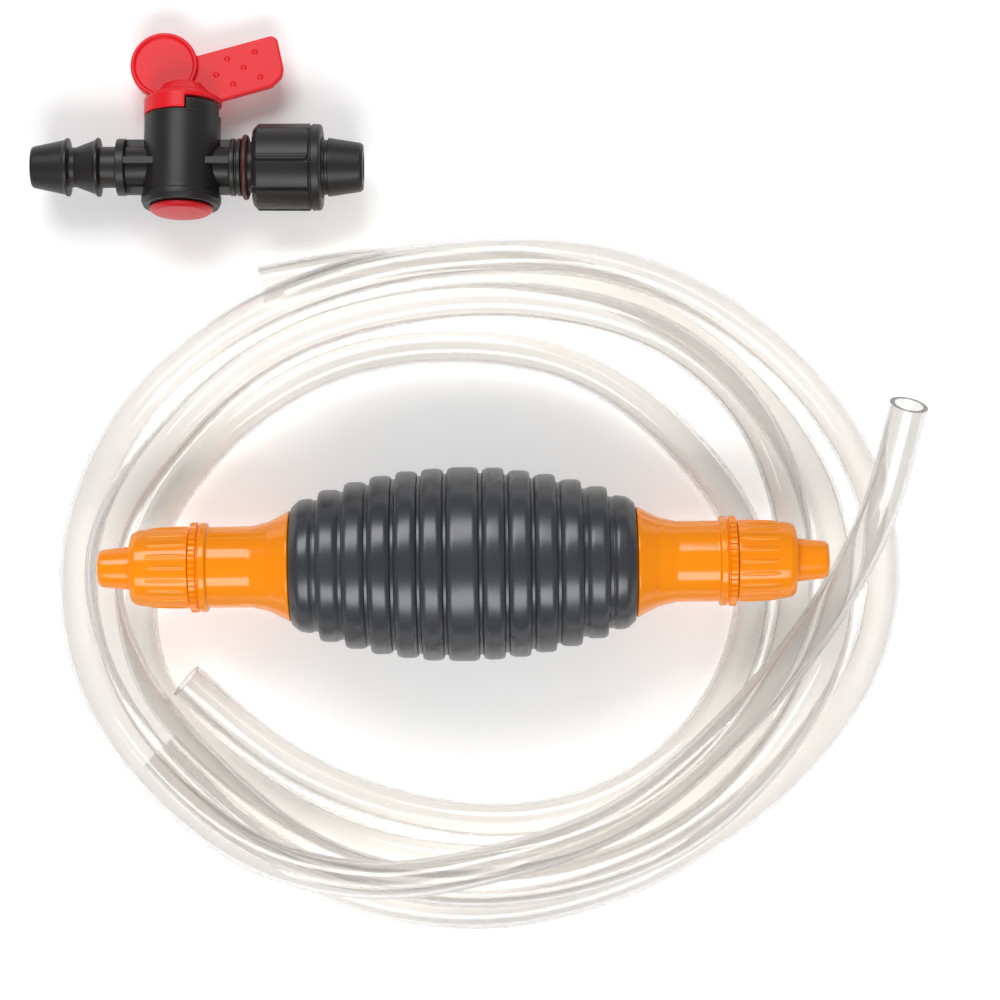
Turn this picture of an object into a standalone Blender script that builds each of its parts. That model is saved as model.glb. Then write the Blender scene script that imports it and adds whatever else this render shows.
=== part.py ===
"""Hand siphon kit: a ribbed squeeze pump, two lengths of clear hose and an in-line flow valve.

Built in millimetres and stored in metres, +Z up, origin at the middle of the pump and valve's
footprint. The pump lies along +X and draws from its left end to its right end.
"""

import math

import bmesh
import bpy
import numpy as np
from mathutils import Matrix, Vector

MM = 0.001

# Squeeze pump, turned round its long axis. U is the distance out from the middle of the bulb.
PUMP_CENTRE = (10.84, -69.86, 30.1)
BULB_SEGMENTS = 24
RING_PITCH = 8.0
MIDDLE_RING = 10.9
RINGS_A_SIDE = 6
CREST_RADIUS = 30.1
CREST_FALL = 0.0038
GROOVE_HALF = 0.75
GROOVE_DEPTH = 1.6
BULB_HALF = 53.4
BULB_LINING = ((53.4, 15.0), (43.5, 15.0), (38.0, 19.4), (28.0, 22.6), (14.0, 24.9), (0.0, 25.8))

FITTING_SEGMENTS = 28
BELL_OUTLINE = (
    (43.5, 14.7), (53.7, 14.7), (53.7, 17.7), (57.0, 15.7), (61.0, 13.8), (66.4, 12.6),
    (79.2, 12.6), (79.2, 14.05), (84.5, 14.05), (84.5, 10.4), (95.5, 10.4), (95.5, 9.0),
    (66.0, 9.0), (60.0, 10.4), (53.0, 13.0), (43.5, 13.0),
)
NUT_RIBS = 20
NUT_RIB_DEPTH = 0.5
NUT_OUTLINE = (
    (84.8, 12.7, 0), (85.6, 12.9, 1), (100.2, 12.5, 1), (101.6, 12.0, 0), (103.1, 10.7, 0),
    (103.1, 7.6, 0), (100.0, 7.6, 0), (100.0, 10.7, 0), (84.8, 10.7, 0),
)
SPIGOT_OUTLINE = (
    (97.9, 3.6), (97.9, 10.3), (99.7, 10.3), (99.7, 7.3), (103.4, 7.3), (103.4, 6.8),
    (112.5, 5.75), (113.4, 5.0), (113.4, 3.6),
)
WASHER_OUTLINE = ((95.8, 4.5), (95.8, 10.2), (97.6, 10.2), (97.6, 4.5))

# Non-return valves inside the two necks: a ball on a seat, kept by a cage.
BALL_RADIUS = 5.5
BALL_STAND = 3.46
SEAT_RADII = (4.5, 8.7)
SEAT_THICK = 3.0
CAGE_RADII = (5.8, 8.7)
CAGE_LENGTH = 15.0
CAGE_FLOOR = 2.0
CAGE_HOLE_RADIUS = 1.5
CAGE_HOLE_OFFSET = 3.6
INLET_SEAT_X = -82.0
OUTLET_SEAT_X = 69.5

# In-line valve. Its local X is the flow, its local Z the stem, and it lies a little tipped over.
VALVE_CENTRE = (-76.86, 56.44, 15.56)
VALVE_TURN = math.radians(-0.72)
STEM_DROOP = math.radians(9.1)
VALVE_SEGMENTS = 28
FACET_TURN = math.radians(3.7)
BORE_RADIUS = 4.2
BARREL_OUTLINE = ((-12.7, 12.5), (-11.0, 12.5), (-11.0, 12.3), (16.0, 12.3))
BARREL_SEAT_RADIUS = 7.8
INLET_OUTLINE = (
    (-47.3, 6.75), (-36.3, 8.95), (-34.5, 7.45), (-26.5, 9.05), (-25.0, 6.75), (-20.3, 6.75),
    (-20.3, 9.0), (-17.5, 9.0), (-17.5, 6.5), (0.0, 6.5),
)
OUTLET_OUTLINE = (
    (0.0, 6.5), (15.7, 6.5), (15.7, 9.1), (17.1, 9.1), (17.1, 8.1), (17.7, 8.1), (17.7, 9.1),
    (19.0, 9.1), (19.0, 8.1), (30.6, 8.1), (30.6, 9.4), (45.4, 9.4), (45.4, 8.6), (46.3, 8.6),
    (46.3, 9.3), (56.6, 7.7), (57.4, 7.2),
)
WEB_REACH = 8.8
WEB_HALF = 1.05
WEB_SPANS = ((-18.2, -6.3), (6.3, 16.4))
STOP_ANGLES = (10.0, 80.0)
STOP_RADII = (8.6, 12.0)
STOP_TOP = 19.7
PLUG_OUTLINE = (
    (-15.4, 5.0), (-14.9, 8.2), (-13.9, 10.0), (-13.0, 10.0), (-13.0, 7.2), (-10.2, 7.2),
    (-10.2, 5.9), (-8.4, 5.9), (-8.4, 7.2), (8.4, 7.2), (8.4, 5.9), (10.2, 5.9), (10.2, 7.2),
    (15.0, 7.2), (15.0, 4.0), (26.0, 4.0),
)
PLUG_BORE_RADIUS = 3.6
PLUG_RING = (6.8, 0.7)
PLUG_RING_HEIGHT = 9.3
THREAD_RING = (9.4, 0.95)
THREAD_RING_X = 20.3
LOCK_NUT_PADS = 8
LOCK_NUT_SEGMENTS = 48
LOCK_NUT_GROOVE = 0.7
LOCK_NUT_OUTLINE = (
    (22.8, 12.2, 0), (24.2, 13.6, 1), (40.9, 13.75, 1), (41.0, 13.75, 0), (43.9, 13.6, 0),
    (44.5, 13.0, 0), (44.5, 9.8, 0), (22.8, 9.8, 0),
)
LEVER_HUB_OUTLINE = (
    (20.0, 9.6), (16.3, 9.6), (16.3, 12.3), (21.5, 12.3), (23.2, 11.0), (27.8, 4.4),
)
LEVER_SOCKET = ((15.0, 4.3), (26.4, 4.3))
NOTCH_ANGLES = (9.5, 170.0)
NOTCH_RADII = (8.0, 14.0)
NOTCH_HEIGHTS = (15.0, 20.3)
COIN_CENTRE = (-6.1, 33.0)
COIN_OUTLINE = (
    (-1.5, 8.9), (-2.2, 9.2), (-2.2, 9.9), (-1.9, 10.7), (1.9, 10.7), (2.2, 9.9), (2.2, 9.2), (1.5, 8.9),
)
WING_HALF = 1.3
WING_OUTLINE = (
    (-3.0, 34.0), (4.6, 36.4), (27.7, 42.9), (29.6, 41.8), (31.7, 32.6), (31.0, 29.4),
    (28.0, 26.1), (12.6, 21.7), (10.0, 21.0), (6.0, 21.0), (6.0, 26.9), (-3.0, 26.9),
)

# Loose hose, 12 mm outside, lying in a flat coil round the pump.
HOSE_RADIUS = 5.8
HOSE_SHIFT = (0.04, -1.26, 0.0)
HOSE_GAP = 12.8
HOSE_FLOOR = 6.1
FINE_STEP = 5.0
HOSE_POINT_EVERY = 27.0
SUCTION_ROUTE = (
    (-78, -105, 13), (-47, -131, 6), (-9, -147, 6), (32, -151, 6), (71, -137, 6),
    (97, -105, 6), (102, -65, 6), (80, -30, 6), (47, -6, 6), (6, 1, 6), (-34, -6, 6),
    (-69, -29, 6), (-91, -63, 6), (-90, -104, 6), (-63, -135, 6), (-28, -156, 6),
    (13, -164, 6), (54, -159, 6), (89, -138, 6), (112, -104, 6), (116, -63, 11),
    (103, -24, 17), (74, 3, 17), (34, 14, 14), (-7, 13, 11), (-47, 1, 11), (-79, -25, 14),
    (-103, -62, 16), (-96, -102, 18), (-68, -136, 18), (-35, -161, 16), (5, -171, 16),
    (46, -168, 17), (84, -152, 17), (113, -123, 13), (129, -86, 8), (124, -46, 6),
    (101, -12, 6), (68, 13, 6), (29, 26, 6), (-12, 27, 6), (-53, 21, 6),
)
DISCHARGE_ROUTE = (
    (149, -21, 37), (141, -55, 22), (122, -90, 17), (92, -124, 18), (60, -149, 20),
    (22, -162, 25), (-18, -167, 28), (-57, -157, 26), (-88, -132, 19), (-109, -97, 12),
    (-111, -57, 8), (-94, -20, 8), (-62, 7, 14), (-25, 22, 18), (15, 28, 18), (55, 26, 17),
    (92, 11, 12), (123, -16, 8), (142, -51, 6), (142, -91, 6), (122, -126, 6),
    (92, -153, 6), (56, -172, 6), (16, -180, 6), (-24, -174, 6), (-59, -156, 6), (-89, -129, 6),
)

# Finishes: colour, roughness, metallic.
BULB_RUBBER = ("bulb_rubber", (0.035, 0.036, 0.042), 0.42, 0.0)
ORANGE_PLASTIC = ("orange_plastic", (1.0, 0.27, 0.008), 0.24, 0.0)
WASHER_RUBBER = ("washer_rubber", (0.02, 0.02, 0.02), 0.6, 0.0)
WHITE_PLASTIC = ("white_plastic", (0.75, 0.74, 0.7), 0.4, 0.0)
BALL_PLASTIC = ("ball_plastic", (0.8, 0.79, 0.75), 0.3, 0.0)
CLEAR_PVC = ("clear_pvc", (0.78, 0.77, 0.72), 0.15, 0.0)
BLACK_PLASTIC = ("black_plastic", (0.014, 0.012, 0.011), 0.45, 0.0)
RED_PLASTIC = ("red_plastic", (0.62, 0.035, 0.025), 0.4, 0.0)


def clear_scene():
    for old in list(bpy.data.objects):
        bpy.data.objects.remove(old, do_unlink=True)


def finish_of(spec):
    name, colour, roughness, metallic = spec
    material = bpy.data.materials.get(name)
    if material is None:
        material = bpy.data.materials.new(name)
        material.use_nodes = True
        shader = material.node_tree.nodes["Principled BSDF"]
        shader.inputs["Base Color"].default_value = (*colour, 1.0)
        shader.inputs["Roughness"].default_value = roughness
        shader.inputs["Metallic"].default_value = metallic
        material.diffuse_color = (*colour, 1.0)
    return material


def skin(rings, closed_loop):
    """Points and faces over a run of equal rings, joined end to end or capped flat."""
    count = len(rings[0])
    points = [point for ring in rings for point in ring]
    faces = []
    last = len(rings) if closed_loop else len(rings) - 1
    for i in range(last):
        a = i * count
        b = ((i + 1) % len(rings)) * count
        for j in range(count):
            k = (j + 1) % count
            faces.append((a + j, a + k, b + k, b + j))
    if not closed_loop:
        faces.append(tuple(range(count)))
        faces.append(tuple(range(len(points) - 1, len(points) - count - 1, -1)))
    return points, faces


def turned(outline, segments, axis="X", closed_loop=True, groove=0.0, every=2):
    """An outline of (along, radius[, grooved]) spun round an axis of its frame."""
    rings = []
    for along, radius, *grooved in outline:
        ring = []
        for j in range(segments):
            angle = math.tau * (j + 0.5) / segments - math.pi / 2 - math.pi / segments
            drop = groove if grooved and grooved[0] and j % every == 0 else 0.0
            across = (radius - drop) * math.cos(angle)
            up = (radius - drop) * math.sin(angle)
            ring.append({"X": (along, across, up), "Y": (across, along, up), "Z": (across, up, along)}[axis])
        rings.append(ring)
    return skin(rings, closed_loop)


def wedge(angles, radii, heights, steps):
    """A ring sector round the stem; angles run from the valve's upper side towards its outlet."""
    rings = []
    for angle in np.radians(np.linspace(*angles, steps)):
        out = (math.sin(angle), -math.cos(angle))
        corners = ((radii[0], heights[0]), (radii[1], heights[0]), (radii[1], heights[1]), (radii[0], heights[1]))
        rings.append([(out[0] * r, out[1] * r, z) for r, z in corners])
    return skin(rings, False)


def block(low, high):
    rings = []
    for x in (low[0], high[0]):
        rings.append([(x, low[1], low[2]), (x, high[1], low[2]), (x, high[1], high[2]), (x, low[1], high[2])])
    return skin(rings, False)


def cross_bar(start, end):
    """A bar along the flow with a plus-shaped section."""
    arm, half = WEB_REACH, WEB_HALF
    quarter = ((arm, -half), (arm, half), (half, half))
    section = []
    for turn in range(4):
        cos, sin = (1, 0, -1, 0)[turn], (0, 1, 0, -1)[turn]
        section += [(y * cos - z * sin, y * sin + z * cos) for y, z in quarter]
    return skin([[(x, y, z) for y, z in section] for x in (start, end)], False)


def plate(outline, half):
    """A flat plate in the plane of flow and stem."""
    return skin([[(x, y, z) for x, z in outline] for y in (-half, half)], False)


def moved(shape, matrix):
    points, faces = shape
    return [tuple(matrix @ Vector(point)) for point in points], faces


def together(*shapes):
    points, faces = [], []
    for more_points, more_faces in shapes:
        start = len(points)
        points += list(more_points)
        faces += [tuple(start + corner for corner in face) for face in more_faces]
    return points, faces


def solid(name, shape, place, finish, smooth=True):
    points, faces = shape
    mesh = bpy.data.meshes.new(name)
    mesh.from_pydata([tuple(value * MM for value in point) for point in points], [], faces)
    shell = bmesh.new()
    shell.from_mesh(mesh)
    bmesh.ops.recalc_face_normals(shell, faces=shell.faces)
    shell.to_mesh(mesh)
    shell.free()
    node = bpy.data.objects.new(name, mesh)
    bpy.context.scene.collection.objects.link(node)
    node.matrix_world = place
    mesh.materials.append(finish_of(finish))
    if smooth:
        mesh.shade_smooth()
        mesh.set_sharp_from_angle(angle=math.radians(35))
    return node


def shape_with(node, tool_name, shape, operation):
    """Adds or takes away a shape with a hidden tool in the node's own frame."""
    tool = solid(tool_name, shape, node.matrix_world, BLACK_PLASTIC, smooth=False)
    tool.hide_render = True
    tool.display_type = "WIRE"
    modifier = node.modifiers.new(tool_name, "BOOLEAN")
    modifier.object = tool
    modifier.operation = operation
    modifier.solver = "EXACT"


def pump_place():
    return Matrix.Translation(Vector(PUMP_CENTRE) * MM)


def valve_place():
    """The valve's frame: X along the flow, Z along the stem, -Y up to the viewer."""
    drop, level = math.sin(STEM_DROOP), math.cos(STEM_DROOP)
    tipped = Matrix(((1, 0, 0), (0, -drop, level), (0, -level, -drop))).to_4x4()
    lie = Matrix.Rotation(VALVE_TURN, 4, "Z")
    return Matrix.Translation(Vector(VALVE_CENTRE) * MM) @ lie @ tipped


def sided(outline, side):
    """The same outline on the left (-1) or right (+1) of the bulb."""
    return [(side * point[0], *point[1:]) for point in outline]


def crest(u):
    return CREST_RADIUS - CREST_FALL * u * u


def bulb(place):
    edges = [MIDDLE_RING / 2 + RING_PITCH * i for i in range(RINGS_A_SIDE)]
    right = []
    inner = 0.0
    for edge in edges:
        radius = crest((inner + edge) / 2 if inner else 0.0)
        if inner:
            right.append((inner + GROOVE_HALF, radius))
        right.append((edge - GROOVE_HALF, radius))
        right.append((edge, radius - GROOVE_DEPTH))
        inner = edge
    last = crest((inner + BULB_HALF) / 2)
    right += [(inner + GROOVE_HALF, last), (BULB_HALF - GROOVE_HALF, last), (BULB_HALF, last - GROOVE_HALF)]
    lining = list(BULB_LINING)
    outline = sided(right, -1)[::-1] + right + lining + sided(lining[:-1], -1)[::-1]
    return solid("bulb", turned(outline, BULB_SEGMENTS), place, BULB_RUBBER)


def end_fitting(prefix, side, place):
    """Bell pressed into the bulb's mouth, with the union nut, spigot and washer on its thread."""
    solid(prefix + "_bell", turned(sided(BELL_OUTLINE, side), FITTING_SEGMENTS), place, ORANGE_PLASTIC)
    nut = turned(sided(NUT_OUTLINE, side), 2 * NUT_RIBS, groove=NUT_RIB_DEPTH)
    solid(prefix + "_nut", nut, place, ORANGE_PLASTIC)
    solid(prefix + "_spigot", turned(sided(SPIGOT_OUTLINE, side), 24), place, ORANGE_PLASTIC)
    solid(prefix + "_washer", turned(sided(WASHER_OUTLINE, side), 24), place, WASHER_RUBBER)


def ball_shape(centre, radius, segments=16, rows=10):
    outline = []
    for i in range(1, rows):
        turn = math.pi * i / rows
        outline.append((centre - radius * math.cos(turn), radius * math.sin(turn)))
    points, faces = turned(outline, segments, closed_loop=False)
    caps, poles = faces[-2:], (centre - radius, centre + radius)
    faces = faces[:-2]
    for cap, pole in zip(caps, poles):
        points.append((pole, 0.0, 0.0))
        faces += [(a, b, len(points) - 1) for a, b in zip(cap, cap[1:] + cap[:1])]
    return points, faces


def non_return_valve(prefix, seat_x, place):
    """Seat, ball and cage; the ball leaves its seat towards +X. seat_x is the face it rests on."""
    ball_x = seat_x + BALL_STAND
    seat = [
        (seat_x - SEAT_THICK, SEAT_RADII[0]), (seat_x - SEAT_THICK, SEAT_RADII[1]),
        (seat_x, SEAT_RADII[1]), (seat_x, SEAT_RADII[0]),
    ]
    solid(prefix + "_valve_seat", turned(seat, 24), place, WHITE_PLASTIC)
    ball = solid(prefix + "_ball", ball_shape(0.0, BALL_RADIUS), place, BALL_PLASTIC)
    ball.matrix_world = place @ Matrix.Translation((ball_x * MM, 0, 0))
    start, end = seat_x + 0.3, seat_x + CAGE_LENGTH
    cup = [
        (start, CAGE_RADII[0]), (start, CAGE_RADII[1]), (end, CAGE_RADII[1]),
        (end, 1.2), (end - CAGE_FLOOR, 1.2), (end - CAGE_FLOOR, CAGE_RADII[0]),
    ]
    cage = solid(prefix + "_ball_cage", turned(cup, 24), place, WHITE_PLASTIC)
    holes, slots = [], []
    for i in range(4):
        about = Matrix.Rotation(math.tau * (i + 0.5) / 4, 4, "X")
        hole = turned(((end - 3, CAGE_HOLE_RADIUS), (end + 1, CAGE_HOLE_RADIUS)), 10, closed_loop=False)
        holes.append(moved(hole, about @ Matrix.Translation((0, 0, CAGE_HOLE_OFFSET))))
        slots.append(moved(block((start + 3.0, -1.5, 5.0), (end - 4.0, 1.5, 10.0)), about))
    shape_with(cage, prefix + "_cage_cuts", together(*holes, *slots), "DIFFERENCE")


def valve_body(place):
    barrel = moved(turned(BARREL_OUTLINE, VALVE_SEGMENTS, "Z", False), Matrix.Rotation(FACET_TURN, 4, "Z"))
    node = solid("valve_body", barrel, place, BLACK_PLASTIC)
    arms = INLET_OUTLINE[:-1] + ((-6.0, 6.5), (6.0, 6.5)) + OUTLET_OUTLINE[1:]
    shape_with(node, "valve_arms", turned(arms, VALVE_SEGMENTS, closed_loop=False), "UNION")
    shape_with(node, "valve_webs", together(*(cross_bar(*span) for span in WEB_SPANS)), "UNION")
    shape_with(node, "valve_stop", wedge(STOP_ANGLES, STOP_RADII, (15.0, STOP_TOP), 6), "UNION")
    bore = turned(((-48.5, BORE_RADIUS), (58.5, BORE_RADIUS)), 20, closed_loop=False)
    shape_with(node, "valve_bore", bore, "DIFFERENCE")
    seat = turned(((-14.0, BARREL_SEAT_RADIUS), (17.0, BARREL_SEAT_RADIUS)), 24, "Z", False)
    shape_with(node, "valve_plug_seat", seat, "DIFFERENCE")


def valve_plug(place):
    node = solid("valve_plug", turned(PLUG_OUTLINE, 24, "Z", False), place, RED_PLASTIC)
    bore = turned(((-11.0, PLUG_BORE_RADIUS), (11.0, PLUG_BORE_RADIUS)), 16, closed_loop=False)
    shape_with(node, "plug_bore", bore, "DIFFERENCE")


def ring_section(centre, radii, sides):
    major, minor = radii
    turns = [math.tau * i / sides for i in range(sides)]
    return [(centre + minor * math.sin(turn), major + minor * math.cos(turn)) for turn in turns]


def valve_rings(place):
    for name, height in (("plug_o_ring_upper", PLUG_RING_HEIGHT), ("plug_o_ring_lower", -PLUG_RING_HEIGHT)):
        solid(name, turned(ring_section(height, PLUG_RING, 6), 20, "Z"), place, WASHER_RUBBER)
    ring = turned(ring_section(THREAD_RING_X, THREAD_RING, 8), VALVE_SEGMENTS)
    solid("thread_o_ring", ring, place, WASHER_RUBBER)


def lock_nut(place):
    every = LOCK_NUT_SEGMENTS // LOCK_NUT_PADS
    nut = turned(LOCK_NUT_OUTLINE, LOCK_NUT_SEGMENTS, groove=LOCK_NUT_GROOVE, every=every)
    lean = Matrix.Rotation(math.radians(360 / LOCK_NUT_PADS / 2 + 3), 4, "X")
    solid("lock_nut", moved(nut, lean), place, BLACK_PLASTIC)


def valve_lever(place):
    """Hub with a skirt cut away between its stops, a round coin grip and a flat wing."""
    hub = turned(LEVER_HUB_OUTLINE, VALVE_SEGMENTS, "Z", False)
    node = solid("valve_lever", hub, place, RED_PLASTIC)
    notch = wedge(NOTCH_ANGLES, NOTCH_RADII, NOTCH_HEIGHTS, 12)
    shape_with(node, "lever_notch", notch, "DIFFERENCE")
    shift = Matrix.Translation((COIN_CENTRE[0], 0, COIN_CENTRE[1]))
    coin = moved(turned(COIN_OUTLINE, VALVE_SEGMENTS, "Y", False), shift)
    shape_with(node, "lever_coin", coin, "UNION")
    shape_with(node, "lever_wing", plate(WING_OUTLINE, WING_HALF), "UNION")
    shape_with(node, "lever_socket", turned(LEVER_SOCKET, 20, "Z", False), "DIFFERENCE")


def smooth_route(route, step):
    """A smooth curve through the route's points, as points an even step apart."""
    p = np.asarray(route, float)
    p = np.vstack([2 * p[0] - p[1], p, 2 * p[-1] - p[-2]])
    t = np.linspace(0, 1, 24, endpoint=False)[:, None]
    runs = []
    for a, b, c, d in zip(p, p[1:], p[2:], p[3:]):
        bend = (2 * a - 5 * b + 4 * c - d) * t**2 + (3 * b - a - 3 * c + d) * t**3
        runs.append(0.5 * (2 * b + (c - a) * t + bend))
    fine = np.vstack(runs + [p[-2:-1]])
    along = np.r_[0, np.cumsum(np.linalg.norm(np.diff(fine, axis=0), axis=1))]
    even = np.linspace(0, along[-1], round(along[-1] / step) + 1)
    return np.stack([np.interp(even, along, fine[:, k]) for k in range(3)], 1)


def ease_apart(strands, step, gap, low, rounds=80):
    """The strands pushed gently apart until their centre lines are a gap apart and off the floor."""
    sizes = [len(strand) for strand in strands]
    cuts = np.cumsum(sizes)[:-1]
    points = np.vstack(strands)
    owner = np.repeat(range(len(sizes)), sizes)
    place = np.arange(len(points)) * step
    joined = (owner[:, None] == owner) & (abs(place[:, None] - place) < 3 * gap)
    soft = np.hanning(11)[1:-1]
    soft /= soft.sum()
    for _ in range(rounds):
        apart = points[:, None] - points
        far = np.linalg.norm(apart, axis=2) + 1e-9
        short = np.where(joined, 0, np.clip(gap - far, 0, None))
        push = (apart * (short / far)[:, :, None]).sum(1)
        for k in range(3):
            for run in np.split(np.arange(len(points)), cuts):
                push[run, k] = np.convolve(np.pad(push[run, k], 4, mode="edge"), soft, mode="valid")
        points = points + 0.4 * push
        points[:, 2] = np.maximum(points[:, 2], low)
    return np.split(points, cuts)


def hose(name, centre_line):
    curve = bpy.data.curves.new(name, "CURVE")
    curve.dimensions = "3D"
    curve.bevel_depth = HOSE_RADIUS * MM
    curve.bevel_resolution = 2
    curve.use_fill_caps = True
    spline = curve.splines.new("POLY")
    count = round(len(centre_line) * FINE_STEP / HOSE_POINT_EVERY)
    chosen = np.round(np.linspace(0, len(centre_line) - 1, count)).astype(int)
    spline.points.add(count - 1)
    for point, place in zip(spline.points, centre_line[chosen]):
        point.co = (*(place * MM), 1.0)
    node = bpy.data.objects.new(name, curve)
    bpy.context.scene.collection.objects.link(node)
    curve.materials.append(finish_of(CLEAR_PVC))


def hoses():
    shift = np.array(HOSE_SHIFT)
    routes = [smooth_route(route, FINE_STEP) + shift for route in (SUCTION_ROUTE, DISCHARGE_ROUTE)]
    laid = ease_apart(routes, FINE_STEP, HOSE_GAP, HOSE_FLOOR)
    for name, centre_line in zip(("suction_hose", "discharge_hose"), laid):
        hose(name, centre_line)


def main():
    clear_scene()
    pump = pump_place()
    bulb(pump)
    end_fitting("inlet", -1, pump)
    end_fitting("outlet", 1, pump)
    non_return_valve("inlet", INLET_SEAT_X, pump)
    non_return_valve("outlet", OUTLET_SEAT_X, pump)
    valve = valve_place()
    valve_body(valve)
    valve_plug(valve)
    valve_rings(valve)
    valve_lever(valve)
    lock_nut(valve)
    hoses()


main()
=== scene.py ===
"""Looks of a hand siphon kit: a ribbed squeeze pump, two clear hoses and an in-line flow valve.

The pump lies along +X, the valve lies beyond it, and both hoses lie in a loose flat coil under and
round the pump. Sizes are in millimetres until a shape is put in its place.
"""

import logging
import math
from collections.abc import Callable, Sequence
from dataclasses import dataclass
from enum import Enum

import bmesh
import bpy
import numpy as np
from mathutils import Matrix, Vector


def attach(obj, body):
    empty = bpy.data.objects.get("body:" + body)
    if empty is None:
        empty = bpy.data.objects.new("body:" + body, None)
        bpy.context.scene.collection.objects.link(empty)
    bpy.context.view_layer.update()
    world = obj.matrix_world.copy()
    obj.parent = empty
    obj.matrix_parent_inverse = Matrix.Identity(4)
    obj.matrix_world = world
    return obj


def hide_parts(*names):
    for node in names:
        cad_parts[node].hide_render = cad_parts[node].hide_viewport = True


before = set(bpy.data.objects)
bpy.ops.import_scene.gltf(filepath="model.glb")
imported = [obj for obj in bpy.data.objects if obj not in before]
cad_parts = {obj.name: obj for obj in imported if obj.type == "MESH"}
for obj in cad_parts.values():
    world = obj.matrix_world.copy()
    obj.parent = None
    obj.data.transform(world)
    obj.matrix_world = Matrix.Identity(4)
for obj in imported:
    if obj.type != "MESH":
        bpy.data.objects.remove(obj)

MM = 0.001
LOG = logging.getLogger("siphon_kit")

FILLET_POINTS = 6
FILLET_SHARE = 0.48  # of the shorter straight beside a corner
ROUTE_STEPS = 24  # between two points of a hose route
EASE_ROUNDS = 80
EASE_SHARE = 0.4  # of the overlap, taken up each round
SHARP_ANGLE = math.radians(38)
PUMP_PLACE = (0.01084, -0.06986, 0.0301)
VALVE_PLACE = (-0.07686, 0.05644, 0.01556)
VALVE_DROOP = math.radians(9.1)
VALVE_TURN = math.radians(-0.72)

Shape = tuple[np.ndarray, list[tuple[int, ...]]]
Relief = Callable[[np.ndarray, np.ndarray], np.ndarray]
Outline = Sequence[tuple[float, ...]]
Triple = tuple[float, float, float]
Tree, Node, Socket = bpy.types.NodeTree, bpy.types.Node, bpy.types.NodeSocket
Mesh, Object = bpy.types.Mesh, bpy.types.Object


class Side(Enum):
    """Which end of the pump a fitting sits on."""

    INLET = -1
    OUTLET = 1

    @property
    def word(self) -> str:
        """The side's name in node names."""
        return self.name.lower()


class Axis(Enum):
    """The axis that an outline is spun round."""

    X = (0, 1, 2)
    Y = (1, 0, 2)
    Z = (2, 0, 1)


# ---- shapes


def rounded(outline: Outline, longest: float, loop: bool = True) -> np.ndarray:
    """Rounds the corners of an outline and splits its long straights.

    Args:
        outline: Corners as (along, radius, fillet); a corner with no fillet stays sharp.
        longest: The longest straight piece to leave, in mm.
        loop: Whether the last corner joins the first.

    Returns:
        The outline's points, one row each.
    """
    corners = [(np.array(c[:2], float), c[2] if len(c) > 2 else 0.0) for c in outline]
    count = len(corners)
    points: list[np.ndarray] = []
    for i, (corner, fillet) in enumerate(corners):
        inner = loop or 0 < i < count - 1
        before, after = corners[i - 1][0] - corner, corners[(i + 1) % count][0] - corner
        if not inner or fillet <= 0:
            points.append(corner)
            continue
        long_a, long_b = np.linalg.norm(before), np.linalg.norm(after)
        half = math.acos(np.clip(before @ after / (long_a * long_b), -1, 1)) / 2
        reach = min(fillet / math.tan(half), FILLET_SHARE * long_a, FILLET_SHARE * long_b)
        start, end = corner + before / long_a * reach, corner + after / long_b * reach
        for t in np.linspace(0, 1, FILLET_POINTS):
            points.append((1 - t) ** 2 * start + 2 * t * (1 - t) * corner + t**2 * end)
    split: list[np.ndarray] = []
    pairs = list(zip(points, points[1:] + points[:1]))
    for a, b in pairs if loop else pairs[:-1]:
        pieces = max(1, math.ceil(np.linalg.norm(b - a) / longest))
        split += [a + (b - a) * k / pieces for k in range(pieces)]
    return np.array(split if loop else split + [points[-1]])


def spun(line: np.ndarray, segments: int, axis: Axis = Axis.X, relief: Relief | None = None) -> Shape:
    """Spins a closed outline round an axis.

    Args:
        line: Points (along, radius). A radius of 0 at both ends makes poles.
        segments: How many steps round.
        axis: The axis to spin round.
        relief: Gives the change of radius from place along and angle, both in full grids.

    Returns:
        The spun shape.
    """
    poles = line[0, 1] < 1e-6 and line[-1, 1] < 1e-6
    body = line[1:-1] if poles else line
    angle = np.arange(segments) * math.tau / segments
    along, turn = np.meshgrid(body[:, 0], angle, indexing="ij")
    radius = np.repeat(body[:, 1:2], segments, 1)
    if relief is not None:
        radius = radius + relief(along, turn)
    grid = np.stack([along, radius * np.cos(turn), radius * np.sin(turn)], 2).reshape(-1, 3)
    rows = len(body)
    faces: list[tuple[int, ...]] = []
    for i in range(rows - 1 if poles else rows):
        a, b = i * segments, (i + 1) % rows * segments
        faces += [(a + j, a + (j + 1) % segments, b + (j + 1) % segments, b + j) for j in range(segments)]
    if poles:
        first, last = len(grid), len(grid) + 1
        ends = np.array([[line[0, 0], 0, 0], [line[-1, 0], 0, 0]])
        grid = np.vstack([grid, ends])
        top = (rows - 1) * segments
        faces += [(first, (j + 1) % segments, j) for j in range(segments)]
        faces += [(last, top + j, top + (j + 1) % segments) for j in range(segments)]
    place = np.empty_like(grid)
    for column, target in enumerate(axis.value):
        place[:, target] = grid[:, column]
    return place, faces


def sweep(rings: Sequence[np.ndarray]) -> Shape:
    """Joins equal rings into a body with flat ends."""
    count = len(rings[0])
    faces: list[tuple[int, ...]] = []
    for i in range(len(rings) - 1):
        a, b = i * count, (i + 1) * count
        faces += [(a + j, a + (j + 1) % count, b + (j + 1) % count, b + j) for j in range(count)]
    faces += [tuple(range(count)), tuple(reversed(range((len(rings) - 1) * count, len(rings) * count)))]
    return np.vstack(rings), faces


def together(shapes: Sequence[Shape]) -> Shape:
    """Puts several shapes in one, without joining them."""
    points: list[np.ndarray] = []
    faces: list[tuple[int, ...]] = []
    start = 0
    for more, sides in shapes:
        points.append(more)
        faces += [tuple(start + corner for corner in face) for face in sides]
        start += len(more)
    return np.vstack(points), faces


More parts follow.
